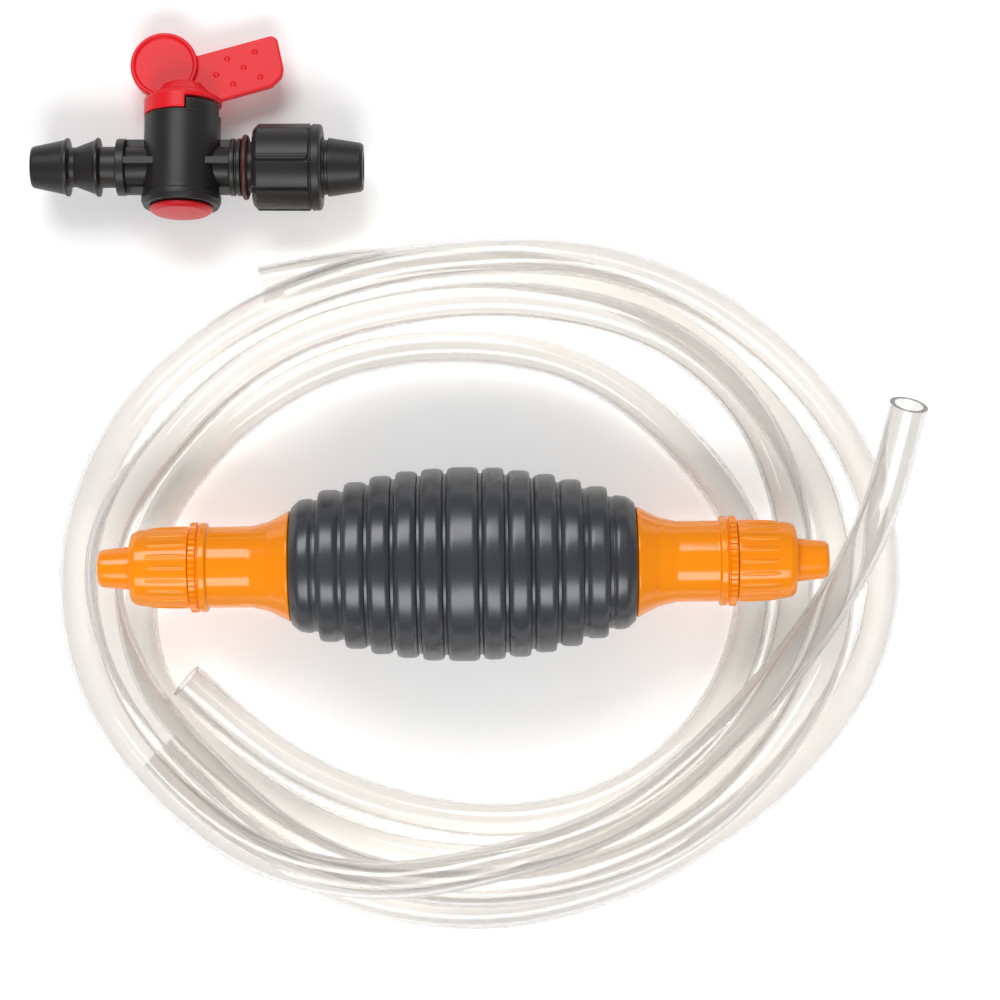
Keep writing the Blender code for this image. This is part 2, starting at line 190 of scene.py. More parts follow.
def moved(shape: Shape, matrix: Matrix) -> Shape:
    """The shape after a move or turn."""
    return shape[0] @ np.array(matrix)[:3, :3].T + np.array(matrix)[:3, 3], shape[1]


def sector(angles: tuple[float, float], radii: tuple[float, float], heights: tuple[float, float]) -> Shape:
    """A ring sector round the stem, with angles in degrees from the valve's upper side."""
    (inner, outer), (low, high) = radii, heights
    corners = ((inner, low), (outer, low), (outer, high), (inner, high))
    rings = []
    for turn in np.radians(np.linspace(*angles, 40)):
        out = np.array([math.sin(turn), -math.cos(turn), 0.0])
        rings.append(np.array([out * r + (0, 0, z) for r, z in corners]))
    return sweep(rings)


def mesh_of(name: str, shape: Shape, place: Matrix | None = None) -> Mesh:
    """Makes a mesh in metres, its faces outward.

    Args:
        name: The mesh's name.
        shape: Points in mm and faces.
        place: Where its own axes lie in the row frame, in metres.

    Returns:
        The mesh.
    """
    mesh = bpy.data.meshes.new(name)
    mesh.from_pydata((shape[0] * MM).tolist(), [], shape[1])
    shell = bmesh.new()
    shell.from_mesh(mesh)
    bmesh.ops.recalc_face_normals(shell, faces=shell.faces)
    shell.to_mesh(mesh)
    shell.free()
    if place is not None:
        mesh.transform(place)
    return mesh


def held(mesh: Mesh) -> Object:
    """Puts a mesh in the scene as an object at the origin."""
    piece = bpy.data.objects.new(mesh.name, mesh)
    bpy.context.scene.collection.objects.link(piece)
    return piece


def baked(piece: Object) -> Mesh:
    """The object's mesh with its modifiers applied; the object and its old mesh are removed."""
    name = piece.name
    bpy.context.view_layer.update()
    graph = bpy.context.evaluated_depsgraph_get()
    mesh = bpy.data.meshes.new_from_object(piece.evaluated_get(graph))
    old = piece.data
    bpy.data.objects.remove(piece)
    bpy.data.meshes.remove(old)
    mesh.name = name
    return mesh


def worked(name: str, base: Shape, joins: Sequence[Shape], cuts: Sequence[Shape]) -> Mesh:
    """Joins shapes to a base and then cuts others from it.

    Args:
        name: The finished mesh's name.
        base: The shape to start from.
        joins: Shapes to add.
        cuts: Shapes to take away.

    Returns:
        One closed mesh.
    """
    piece = held(mesh_of(name, base))
    tools = []
    for kind, shapes in (("UNION", joins), ("DIFFERENCE", cuts)):
        for shape in shapes:
            tool = held(mesh_of("tool", shape))
            modifier = piece.modifiers.new("work", "BOOLEAN")
            modifier.object, modifier.operation, modifier.solver = tool, kind, "EXACT"
            tools.append(tool)
    mesh = baked(piece)
    for tool in tools:
        shape = tool.data
        bpy.data.objects.remove(tool)
        bpy.data.meshes.remove(shape)
    return mesh


def softened(mesh: Mesh, voxel: float, passes: int) -> Mesh:
    """Remeshes a moulded piece finely and eases its edges; voxel is in mm."""
    piece = held(mesh)
    remesh = piece.modifiers.new("skin", "REMESH")
    remesh.mode, remesh.voxel_size = "VOXEL", voxel * MM
    smooth = piece.modifiers.new("ease", "SMOOTH")
    smooth.factor, smooth.iterations = 0.5, passes
    return baked(piece)


# ---- geometry nodes


def added(tree: Tree, *kinds: str) -> list[Node]:
    """New nodes of these kinds in a tree."""
    return [tree.nodes.new(kind) for kind in kinds]


def wired(tree: Tree, *pairs: tuple[Socket, Socket]) -> None:
    """Links the first socket of each pair to the second."""
    for source, target in pairs:
        tree.links.new(source, target)


def filled(node: Node, values: dict[str, object]) -> None:
    """Sets a node's inputs by name."""
    for label, value in values.items():
        node.inputs[label].default_value = value


def new_tree(name: str, numbers: dict[str, tuple[str, float]]) -> Tree:
    """A geometry node group with a geometry in and out, a material and named numbers."""
    tree = bpy.data.node_groups.new(name, "GeometryNodeTree")
    tree.is_modifier = True
    tree.interface.new_socket("Geometry", in_out="OUTPUT", socket_type="NodeSocketGeometry")
    tree.interface.new_socket("Geometry", in_out="INPUT", socket_type="NodeSocketGeometry")
    tree.interface.new_socket("Material", in_out="INPUT", socket_type="NodeSocketMaterial")
    for label, (kind, value) in numbers.items():
        socket = tree.interface.new_socket(label, in_out="INPUT", socket_type=f"NodeSocket{kind}")
        socket.default_value = value
    return tree


def close_tree(tree: Tree, start: Node, last: Socket) -> None:
    """Ends a tree in Realize Instances and Set Material."""
    realize, dress, end = added(
        tree, "GeometryNodeRealizeInstances", "GeometryNodeSetMaterial", "NodeGroupOutput"
    )
    wired(
        tree, (last, realize.inputs[0]), (realize.outputs[0], dress.inputs["Geometry"]),
        (start.outputs["Material"], dress.inputs["Material"]), (dress.outputs[0], end.inputs[0]),
    )


def grown(piece: Object, tree: Tree, values: dict[str, object]) -> Mesh:
    """Runs a tree on an object and returns the plain mesh it makes.

    Args:
        piece: The object that holds the starting mesh.
        tree: The node group to run.
        values: Input values by socket name.

    Returns:
        The finished mesh.
    """
    modifier = piece.modifiers.new(tree.name, "NODES")
    modifier.node_group = tree
    for item in tree.interface.items_tree:
        if item.item_type == "SOCKET" and item.in_out == "INPUT" and item.name in values:
            modifier[item.identifier] = values[item.name]
    return baked(piece)


def round_copies_tree() -> Tree:
    """Repeats the geometry it is given evenly round the X axis."""
    name = "copies_round_the_axis"
    if name in bpy.data.node_groups:
        return bpy.data.node_groups[name]
    tree = new_tree(name, {"Count": ("Int", 8), "First Angle": ("Float", 0.0)})
    start, line, index, step, turn, spin, place = added(
        tree, "NodeGroupInput", "GeometryNodeMeshLine", "GeometryNodeInputIndex", "ShaderNodeMath",
        "ShaderNodeMath", "ShaderNodeCombineXYZ", "GeometryNodeInstanceOnPoints",
    )
    line.inputs["Offset"].default_value = (0, 0, 0)
    step.operation, turn.operation = "DIVIDE", "MULTIPLY_ADD"
    step.inputs[0].default_value = math.tau
    wired(
        tree,
        (start.outputs["Count"], line.inputs["Count"]), (start.outputs["Count"], step.inputs[1]),
        (index.outputs[0], turn.inputs[0]), (step.outputs[0], turn.inputs[1]),
        (start.outputs["First Angle"], turn.inputs[2]), (turn.outputs[0], spin.inputs["X"]),
        (line.outputs[0], place.inputs["Points"]), (start.outputs["Geometry"], place.inputs["Instance"]),
        (spin.outputs[0], place.inputs["Rotation"]),
    )
    close_tree(tree, start, place.outputs[0])
    return tree


def hose_tree() -> Tree:
    """Sweeps a round wall along a line, and marks how far along and round each point lies."""
    tree = new_tree("hose_along_a_line", {"Radius": ("Float", 0.006), "Sides": ("Int", 32)})
    start, curve, place, along, circle, turn, around, wall, smooth = added(
        tree, "NodeGroupInput", "GeometryNodeMeshToCurve", "GeometryNodeSplineParameter",
        "GeometryNodeStoreNamedAttribute", "GeometryNodeCurvePrimitiveCircle", "GeometryNodeSplineParameter",
        "GeometryNodeStoreNamedAttribute", "GeometryNodeCurveToMesh", "GeometryNodeSetShadeSmooth",
    )
    for mark, label in ((along, "along"), (around, "around")):
        mark.data_type, mark.domain = "FLOAT", "POINT"
        mark.inputs["Name"].default_value = label
    wired(
        tree,
        (start.outputs["Geometry"], curve.inputs[0]), (curve.outputs[0], along.inputs["Geometry"]),
        (place.outputs["Length"], along.inputs["Value"]), (start.outputs["Radius"], circle.inputs["Radius"]),
        (start.outputs["Sides"], circle.inputs["Resolution"]), (circle.outputs[0], around.inputs["Geometry"]),
        (turn.outputs["Factor"], around.inputs["Value"]), (along.outputs[0], wall.inputs["Curve"]),
        (around.outputs[0], wall.inputs["Profile Curve"]), (wall.outputs[0], smooth.inputs["Geometry"]),
    )
    close_tree(tree, start, smooth.outputs[0])
    return tree


# ---- finishes


def shader_group(name: str, inputs: dict[str, float], outputs: dict[str, str]) -> Tree:
    """An empty shader group with number inputs and named outputs."""
    tree = bpy.data.node_groups.new(name, "ShaderNodeTree")
    for label, value in inputs.items():
        socket = tree.interface.new_socket(label, in_out="INPUT", socket_type="NodeSocketFloat")
        socket.default_value = value
    for label, kind in outputs.items():
        tree.interface.new_socket(label, in_out="OUTPUT", socket_type=f"NodeSocket{kind}")
    return tree


def scaled_noise(
    tree: Tree, source: Socket, scale: Socket | float, detail: float
) -> Socket:
    """A noise texture on given coordinates, as a value from 0 to 1."""
    noise = tree.nodes.new("ShaderNodeTexNoise")
    noise.inputs["Detail"].default_value = detail
    tree.links.new(source, noise.inputs["Vector"])
    if isinstance(scale, float):
        noise.inputs["Scale"].default_value = scale
    else:
        tree.links.new(scale, noise.inputs["Scale"])
    return noise.outputs["Fac"]


def mapped(
    tree: Tree, value: Socket, low: float, high: float, to: tuple[float, float]
) -> Socket:
    """A value stretched from low..high onto another range, and held inside it."""
    node = tree.nodes.new("ShaderNodeMapRange")
    node.inputs["From Min"].default_value, node.inputs["From Max"].default_value = low, high
    node.inputs["To Min"].default_value, node.inputs["To Max"].default_value = to
    tree.links.new(value, node.inputs["Value"])
    return node.outputs[0]


def blank_material(name: str) -> tuple[bpy.types.Material, Tree, Node]:
    """A new material, with its node tree and its shader."""
    material = bpy.data.materials.new(name)
    material.use_nodes = True
    return material, material.node_tree, material.node_tree.nodes["Principled BSDF"]


def moulded_grain() -> Tree:
    """Fine mould texture: a height, a roughness and a mask of slow cloudy patches."""
    name = "moulded_grain"
    if name in bpy.data.node_groups:
        return bpy.data.node_groups[name]
    tree = shader_group(
        name,
        {"Grain Scale": 1500.0, "Patch Scale": 40.0, "Roughness": 0.4, "Roughness Spread": 0.1},
        {"Height": "Float", "Roughness": "Float", "Patches": "Float"},
    )
    start, end, coordinates, spread, rough = added(
        tree, "NodeGroupInput", "NodeGroupOutput", "ShaderNodeTexCoord", "ShaderNodeMath", "ShaderNodeMath"
    )
    place = coordinates.outputs["Object"]
    grain = scaled_noise(tree, place, start.outputs["Grain Scale"], 3.0)
    patch = scaled_noise(tree, place, start.outputs["Patch Scale"], 4.0)
    spread.operation, rough.operation = "SUBTRACT", "MULTIPLY_ADD"
    spread.inputs[1].default_value = 0.5
    wired(
        tree, (patch, spread.inputs[0]), (spread.outputs[0], rough.inputs[0]),
        (start.outputs["Roughness Spread"], rough.inputs[1]), (start.outputs["Roughness"], rough.inputs[2]),
        (grain, end.inputs["Height"]), (rough.outputs[0], end.inputs["Roughness"]),
        (mapped(tree, patch, 0.35, 0.65, (0.0, 1.0)), end.inputs["Patches"]),
    )
    return tree


def edge_rub() -> Tree:
    """A mask of rubbed outer edges, and one of painted shade that darkens hollows and creases."""
    name = "edge_rub"
    if name in bpy.data.node_groups:
        return bpy.data.node_groups[name]
    tree = shader_group(name, {"Break Up": 160.0}, {"Edge": "Float", "Hollow": "Float"})
    start, end, shape, coordinates = added(
        tree, "NodeGroupInput", "NodeGroupOutput", "ShaderNodeNewGeometry", "ShaderNodeTexCoord"
    )
    broken = scaled_noise(tree, coordinates.outputs["Object"], start.outputs["Break Up"], 5.0)
    # The edge mask marks worn outer edges; the hollow mask is painted shade laid into recesses and creases.
    for label, low, high in (("Edge", 0.53, 0.62), ("Hollow", 0.47, 0.38)):
        worn = tree.nodes.new("ShaderNodeMath")
        worn.operation = "MULTIPLY"
        wired(
            tree, (mapped(tree, shape.outputs["Pointiness"], low, high, (0.0, 1.0)), worn.inputs[0]),
            (mapped(tree, broken, 0.3, 0.7, (0.2, 1.0)), worn.inputs[1]),
            (worn.outputs[0], end.inputs[label]),
        )
    return tree


@dataclass(frozen=True)
class MouldedFinish:
    """A moulded plastic or rubber with grain, slow patches, rubbed edges and painted shade in its hollows."""

    name: str
    colour: Triple
    patch_colour: Triple
    edge_colour: Triple
    # painted shade: the darker colour laid into hollows and creases
    hollow_colour: Triple
    roughness: float
    spread: float = 0.1
    grain_scale: float = 1500.0
    grain_depth: float = 0.02
    shine: float = 0.5

    def material(self) -> bpy.types.Material:
        """Builds the material, or returns it if it is already built."""
        name = f"{self.name}_finish"
        if name in bpy.data.materials:
            return bpy.data.materials[name]
        material, tree, shader = blank_material(name)
        material.diffuse_color = (*self.colour, 1.0)
        grain, wear_and_shade, bump = added(tree, "ShaderNodeGroup", "ShaderNodeGroup", "ShaderNodeBump")
        grain.node_tree, wear_and_shade.node_tree = moulded_grain(), edge_rub()
        filled(grain, {
            "Grain Scale": self.grain_scale, "Roughness": self.roughness, "Roughness Spread": self.spread,
        })
        colour = self.blended(tree, grain.outputs["Patches"], self.colour, self.patch_colour)
        # Painted shade: hollows and creases are darkened towards the hollow colour.
        colour = self.blended(tree, wear_and_shade.outputs["Hollow"], colour, self.hollow_colour)
        colour = self.blended(tree, wear_and_shade.outputs["Edge"], colour, self.edge_colour)
        bump.inputs["Distance"].default_value = self.grain_depth * MM
        wired(
            tree, (grain.outputs["Height"], bump.inputs["Height"]), (colour, shader.inputs["Base Color"]),
            (grain.outputs["Roughness"], shader.inputs["Roughness"]),
            (bump.outputs["Normal"], shader.inputs["Normal"]),
        )
        shader.inputs["Specular IOR Level"].default_value = self.shine
        return material

    @staticmethod
    def blended(
        tree: Tree,
        mask: Socket,
        under: Socket | Triple,
        over: Triple,
    ) -> Socket:
        """Mixes one colour over another by a mask."""
        mix = tree.nodes.new("ShaderNodeMix")
        mix.data_type = "RGBA"
        tree.links.new(mask, mix.inputs["Factor"])
        if isinstance(under, tuple):
            mix.inputs["A"].default_value = (*under, 1.0)
        else:
            tree.links.new(under, mix.inputs["A"])
        mix.inputs["B"].default_value = (*over, 1.0)
        return mix.outputs["Result"]


@dataclass(frozen=True)
class ClearHoseFinish:
    """Clear flexible PVC with faint draw lines along it; light passes through to what is under it."""

    name: str
    colour: Triple = (0.838, 0.826, 0.812)
    shade: Triple = (0.94, 0.935, 0.925)
    roughness: float = 0.05
    bend_of_light: float = 1.46
    line_depth: float = 0.006
    line_stretch: Triple = (14.0, 9.0, 1.0)
    clearness: float = 0.93

    def material(self) -> bpy.types.Material:
        """Builds the material, or returns it if it is already built."""
        name = f"{self.name}_finish"
        if name in bpy.data.materials:
            return bpy.data.materials[name]
        material, tree, shader = blank_material(name)
        filled(shader, {
            "Base Color": (*self.colour, 1.0), "Roughness": self.roughness, "IOR": self.bend_of_light,
            "Transmission Weight": self.clearness,
        })
        along, around, place, stretch, bump, clear, ray, mix = added(
            tree, "ShaderNodeAttribute", "ShaderNodeAttribute", "ShaderNodeCombineXYZ", "ShaderNodeMapping",
            "ShaderNodeBump", "ShaderNodeBsdfTransparent", "ShaderNodeLightPath", "ShaderNodeMixShader",
        )
        along.attribute_name, around.attribute_name = "along", "around"
        stretch.inputs["Scale"].default_value = self.line_stretch
        bump.inputs["Distance"].default_value = self.line_depth * MM
        clear.inputs["Color"].default_value = (*self.shade, 1.0)
        wired(
            tree, (around.outputs["Fac"], place.inputs["X"]), (along.outputs["Fac"], place.inputs["Y"]),
            (place.outputs[0], stretch.inputs["Vector"]),
            (scaled_noise(tree, stretch.outputs[0], 1.0, 3.0), bump.inputs["Height"]),
            (bump.outputs["Normal"], shader.inputs["Normal"]),
            (ray.outputs["Is Shadow Ray"], mix.inputs[0]), (shader.outputs[0], mix.inputs[1]),
            (clear.outputs[0], mix.inputs[2]),
            (mix.outputs[0], tree.nodes["Material Output"].inputs["Surface"]),
        )
        return material


# Colours in order: own colour, patch colour, worn-edge colour, then the darker painted shade for hollows.
BULB_RUBBER = MouldedFinish(
    "bulb_rubber", (0.031, 0.033, 0.039), (0.038, 0.040, 0.047), (0.042, 0.044, 0.051),
    (0.020, 0.021, 0.025), 0.29, 0.12, 900.0, 0.004, shine=0.66,
)
ORANGE_PLASTIC = MouldedFinish(
    "orange_plastic", (0.97, 0.275, 0.0004), (0.99, 0.29, 0.0005), (1.0, 0.36, 0.006),
    (0.72, 0.15, 0.0003), 0.13, 0.06, 500.0, 0.002, shine=0.45,
)
BLACK_PLASTIC = MouldedFinish(
    "black_plastic", (0.013, 0.012, 0.012), (0.017, 0.0155, 0.015), (0.045, 0.043, 0.041),
    (0.003, 0.0025, 0.0025), 0.4, 0.14, 1300.0, 0.02, shine=0.4,
)
RED_PLASTIC = MouldedFinish(
    "red_plastic", (0.75, 0.010, 0.018), (0.79, 0.014, 0.023), (0.92, 0.06, 0.07),
    (0.46, 0.005, 0.009), 0.36, 0.1, 1000.0, 0.012, shine=0.25,
)
PLUG_RED = MouldedFinish(
    "plug_red_plastic", (0.52, 0.004, 0.011), (0.58, 0.006, 0.014), (0.75, 0.03, 0.035),
    (0.26, 0.002, 0.004), 0.3, 0.1, 1000.0, 0.012, shine=0.35,
)
SEAL_RUBBER = MouldedFinish(
    "seal_rubber", (0.012, 0.012, 0.012), (0.015, 0.015, 0.014), (0.028, 0.028, 0.028),
    (0.006, 0.006, 0.006), 0.55, 0.1, 1200.0, 0.015,
)
THREAD_SEAL = MouldedFinish(
    "thread_seal_rubber", (0.055, 0.012, 0.008), (0.07, 0.015, 0.01), (0.11, 0.026, 0.017),
    (0.03, 0.005, 0.003), 0.45, 0.1, 1200.0, 0.015,
)
WHITE_PLASTIC = MouldedFinish(
    "white_plastic", (0.74, 0.73, 0.69), (0.78, 0.77, 0.73), (0.85, 0.84, 0.82),
    (0.6, 0.59, 0.55), 0.35, 0.1, 1200.0, 0.01,
)
BALL_PLASTIC = MouldedFinish(
    "ball_plastic", (0.8, 0.79, 0.75), (0.83, 0.82, 0.78), (0.88, 0.87, 0.84),
    (0.7, 0.69, 0.66), 0.22, 0.06, 1500.0, 0.004,
)
CLEAR_HOSE = ClearHoseFinish("clear_hose")


def shown(
    mesh: Mesh, finish: MouldedFinish | ClearHoseFinish, body: str, nodes: Sequence[str]
) -> Object:
    """Shows a finished mesh in place of CAD nodes.

    Args:
        mesh: The mesh, in the row frame.
        finish: What it is made of.
        body: The CAD body it moves with.
        nodes: The CAD nodes it stands for.

    Returns:
        The piece.
    """
    mesh.materials.clear()
    mesh.materials.append(finish.material())
    mesh.shade_smooth()
    mesh.set_sharp_from_angle(angle=SHARP_ANGLE)
    piece = held(mesh)
    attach(piece, body)
    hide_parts(*nodes)
    LOG.info("%s: %d faces, on %s", piece.name, len(mesh.polygons), body)
    return piece


def dressed(node: str, finish: MouldedFinish) -> None:
    """Gives a CAD node that stays as it is its finish."""
    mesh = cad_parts[node].data
    mesh.materials.clear()
    mesh.materials.append(finish.material())
    LOG.info("%s: dressed in %s", node, finish.name)


# ---- squeeze pump


def pulse(phase: np.ndarray, share: float, edge: float) -> np.ndarray:
    """A repeating rounded step: 1 over a share of each turn of phase, 0 elsewhere."""
    off = np.abs(phase - np.round(phase))
    return np.clip((share / 2 + edge / 2 - off) / edge, 0, 1)


def fade(value: np.ndarray, low: float, high: float, edge: float) -> np.ndarray:
    """1 between low and high, falling to 0 over an edge outside them."""
    return np.clip((value - low) / edge + 1, 0, 1) * np.clip((high - value) / edge + 1, 0, 1)


@dataclass
class SqueezeBulb:
    """The ribbed rubber bulb, turned round the pump's axis."""

    place: Matrix
    half_length: float = 53.4
    middle_ring: float = 10.9
    ring_pitch: float = 8.0
    rings_a_side: int = 6
    crest: float = 30.05
    fall: float = 0.0038
    groove_top: float = 0.8
    groove_floor: float = 0.5
    groove_depth: float = 1.75
    shoulder: float = 2.1
    sag: float = 0.5
    seam_height: float = 0.09
    wave_heights: tuple[float, float] = (0.05, 0.04)
    mouth: float = 15.0
    segments: int = 144

    def crest_at(self, u: float) -> float:
        """The ring tops' radius at a distance from the middle."""
        return self.crest - self.fall * u * u

    def outline(self) -> list[Triple]:
        """Half of the outer outline, from the middle to the mouth."""
        corners: list[Triple] = []
        inner = 0.0
        for edge in [self.middle_ring / 2 + self.ring_pitch * i for i in range(self.rings_a_side)]:
            top = self.crest_at((inner + edge) / 2 if inner else 0.0)
            floor = self.crest_at(edge) - self.groove_depth
            if inner:
                corners += [
                    (inner + self.groove_top, top - self.sag, 0.7), (inner + self.shoulder, top + 0.1, 3.0),
                ]
            corners += [
                (edge - self.shoulder, top + 0.05, 3.0), (edge - self.groove_top, top - self.sag, 0.7),
                (edge - self.groove_floor, floor, 0.25), (edge + self.groove_floor, floor - 0.05, 0.25),
            ]
            inner = edge
        last = self.crest_at((inner + self.half_length) / 2)
        corners += [
            (inner + self.groove_top, last - self.sag, 0.7), (inner + self.shoulder, last + 0.1, 2.0),
            (self.half_length - 2.6, last - 0.3, 3.0), (self.half_length - 0.1, last - 2.4, 1.2),
        ]
        return corners

    def build(self) -> None:
        """Makes the bulb and shows it."""
        right = self.outline()
        lining = [(53.4, 17.2, 0.8), (53.4, self.mouth, 0.4), (43.5, self.mouth, 1.0), (38.0, 19.4, 3.0),
                  (28.0, 22.6, 4.0), (14.0, 24.9, 4.0), (0.0, 25.8, 4.0)]
        left = [(-u, r, f) for u, r, f in right[::-1]]
        back = [(-u, r, f) for u, r, f in lining[-2::-1]]
        line = rounded(left + right + lining + back, 1.6)

        def relief(along: np.ndarray, turn: np.ndarray) -> np.ndarray:
            """The mould's parting line and the rubber's slight unevenness."""
            seam = np.exp(-((np.sin(turn) * 30) ** 2) / 0.18) * self.seam_height
            slow, quick = self.wave_heights
            wave = slow * np.sin(turn * 5 + along * 0.21) + quick * np.sin(turn * 9 - along * 0.4)
            return seam + wave * fade(np.abs(along), 0, 50, 3)

        shape = spun(line, self.segments, Axis.X, relief)
        mesh = mesh_of("squeeze_bulb", shape, self.place)
        shown(mesh, BULB_RUBBER, "pump", ["bulb"])


@dataclass
class EndFitting:
    """Bell, union nut and spigot at one end of the pump."""

    side: Side
    place: Matrix
    neck: float = 12.6
    thread_pitch: float = 2.0
    thread_height: float = 0.5
    collar_teeth: int = 44
    tooth_depth: float = 0.55
    nut_ribs: int = 20
    rib_length: float = 12.6
    rib_width: float = 1.7
    rib_height: float = 0.75
    segments: int = 176

    def turned(self, outline: Outline, longest: float) -> Shape:
        """An outline given outward from the bulb, spun on this side of it."""
        line = rounded(outline, longest)
        line[:, 0] *= self.side.value
        return spun(line, self.segments)

    def bell(self) -> None:
        """The flared bell with its bead, toothed collar and threaded neck."""
        outline = (
            (43.5, 13.2, 0.3), (43.5, 14.7, 0.4), (53.65, 14.7, 0.1), (53.65, 17.6, 0.7), (56.6, 15.95, 2.5),
            (60.5, 13.95, 4.0), (66.0, self.neck + 0.05, 6.0), (79.2, self.neck, 0.5), (79.35, 13.95, 0.8),
            (81.6, 13.95, 0.8), (81.8, 13.0, 0.2), (82.2, 13.0, 0.2), (82.3, 14.05, 0.25),
            (84.5, 14.05, 0.25), (84.5, 9.9, 0.2), (95.5, 9.9, 0.4), (95.5, 9.0, 0.2), (66.0, 9.0, 1.0),
            (60.0, 10.4, 2.0), (53.0, 13.0, 2.0),
        )
        way = self.side.value
        line = rounded(outline, 0.3)
        line[:, 0] *= way
        bore = line[:, 1] <= 9.0001

        def relief(along: np.ndarray, turn: np.ndarray) -> np.ndarray:
            """Teeth round the collar, and the screw thread on the neck."""
            out = along * way
            collar = fade(out, 82.4, 84.45, 0.05)
            teeth = -self.tooth_depth * pulse(turn * self.collar_teeth / math.tau, 0.35, 0.2) * collar
            climb = (out - way * turn / math.tau * self.thread_pitch) / self.thread_pitch
            thread = self.thread_height * pulse(climb, 0.3, 0.4) * fade(out, 86.2, 94.2, 0.8)
            return np.where(bore[:, None], 0.0, teeth + thread)

        shape = spun(line, self.segments, Axis.X, relief)
        mesh = mesh_of(f"{self.side.word}_bell_moulding", shape, self.place)
        shown(mesh, ORANGE_PLASTIC, "pump", [f"{self.side.word}_bell"])

    def nut(self) -> None:
        """The union nut with round-ended grip ribs set round it."""
        outline = (
            (84.85, 12.5, 0.4), (98.6, 12.0, 2.6), (101.2, 11.75, 1.2), (103.1, 10.6, 0.6), (103.1, 7.6, 0.3),
            (100.0, 7.6, 0.2), (100.0, 10.7, 0.4), (84.85, 10.7, 0.3),
        )
        word = self.side.word
        shell = mesh_of("shell", self.turned(outline, 0.9), self.place)
        values = {"Count": self.nut_ribs, "Material": ORANGE_PLASTIC.material()}
        ribs = grown(held(mesh_of("one_rib", self.rib())), round_copies_tree(), values)
        ribs.transform(self.place)
        merged = bmesh.new()
        merged.from_mesh(shell)
        merged.from_mesh(ribs)
        mesh = bpy.data.meshes.new(f"{word}_union_nut_moulding")
        merged.to_mesh(mesh)
        merged.free()
        LOG.info("%s nut: %d ribs", word, self.nut_ribs)
        shown(mesh, ORANGE_PLASTIC, f"{word}_union_nut", [f"{word}_nut"])

    def rib(self) -> Shape:
        """One grip rib, a long rounded bar that leans in with the nut's taper."""
        way = self.side.value
        start, end = 85.3, 85.3 + self.rib_length
        rings = []
        for t in np.linspace(0, math.pi, 22):
            u = (start + end) / 2 - math.cos(t) * (end - start) / 2
            swell = math.sin(t) ** 0.35 if 0 < t < math.pi else 0.0
            base = 12.15 - (u - start) * 0.035
            ring = []
            for a in np.linspace(0, math.tau, 12, endpoint=False):
                y = math.cos(a) * self.rib_width / 2 * max(swell, 0.05)
                z = base + math.sin(a) * self.rib_height * max(swell, 0.05)
                ring.append((u * way, y, z))
            rings.append(np.array(ring))
        return sweep(rings)

    def spigot(self) -> None:
        """The tapered hose spigot with its flange."""
        outline = (
            (97.9, 3.6, 0.2), (97.9, 10.3, 0.3), (99.7, 10.3, 0.3), (99.7, 7.3, 0.2), (103.3, 7.3, 0.3),
            (103.4, 6.8, 0.2), (112.4, 5.85, 1.0), (113.4, 5.0, 0.5), (113.4, 3.6, 0.3),
        )
        mesh = mesh_of(f"{self.side.word}_spigot_moulding", self.turned(outline, 0.8), self.place)
        shown(mesh, ORANGE_PLASTIC, f"{self.side.word}_tail", [f"{self.side.word}_spigot"])

    def build(self) -> None:
        """Makes the fitting's pieces and dresses its inner ones."""
        self.bell()
        self.nut()
        self.spigot()
        for node, finish, slot in (
            ("washer", SEAL_RUBBER, "seal_rubber"), ("valve_seat", WHITE_PLASTIC, "white_plastic"),
            ("ball_cage", WHITE_PLASTIC, "white_plastic"), ("ball", BALL_PLASTIC, "ball_plastic"),
        ):
            dressed(f"{self.side.word}_{node}", finish)


# ---- hoses


def smooth_route(route: Outline, step: float) -> np.ndarray:
    """A smooth curve through a route's points, as points an even step apart."""
    p = np.asarray(route, float)
    p = np.vstack([2 * p[0] - p[1], p, 2 * p[-1] - p[-2]])
    t = np.linspace(0, 1, ROUTE_STEPS, endpoint=False)[:, None]
    runs = []
    for a, b, c, d in zip(p, p[1:], p[2:], p[3:]):
        bend = (2 * a - 5 * b + 4 * c - d) * t**2 + (3 * b - a - 3 * c + d) * t**3
        runs.append(0.5 * (2 * b + (c - a) * t + bend))
    fine = np.vstack(runs + [p[-2:-1]])
    along = np.r_[0, np.cumsum(np.linalg.norm(np.diff(fine, axis=0), axis=1))]
    even = np.linspace(0, along[-1], round(along[-1] / step) + 1)
    return np.stack([np.interp(even, along, fine[:, k]) for k in range(3)], 1)


def ease_apart(strands: Sequence[np.ndarray], step: float, gap: float, low: float) -> list[np.ndarray]:
    """Pushes strands gently apart until their centre lines are a gap apart and off the floor.

    Args:
        strands: Centre lines in mm, their points a step apart.
        step: The step between points, in mm.
        gap: The least distance between centre lines, in mm.
        low: The least height of a centre line, in mm.

    Returns:
        The eased centre lines.
    """
    sizes = [len(strand) for strand in strands]
    cuts = np.cumsum(sizes)[:-1]
    points = np.vstack(strands)
    owner = np.repeat(range(len(sizes)), sizes)
    place = np.arange(len(points)) * step
    joined = (owner[:, None] == owner) & (abs(place[:, None] - place) < 3 * gap)
    soft = np.hanning(11)[1:-1]
    soft /= soft.sum()
    for _ in range(EASE_ROUNDS):
        apart = points[:, None] - points
        far = np.linalg.norm(apart, axis=2) + 1e-9
        short = np.where(joined, 0, np.clip(gap - far, 0, None))
        push = (apart * (short / far)[:, :, None]).sum(1)
        for k in range(3):
            for run in np.split(np.arange(len(points)), cuts):
                push[run, k] = np.convolve(np.pad(push[run, k], 4, mode="edge"), soft, mode="valid")
        points = points + EASE_SHARE * push
        points[:, 2] = np.maximum(points[:, 2], low)
    return np.split(points, cuts)


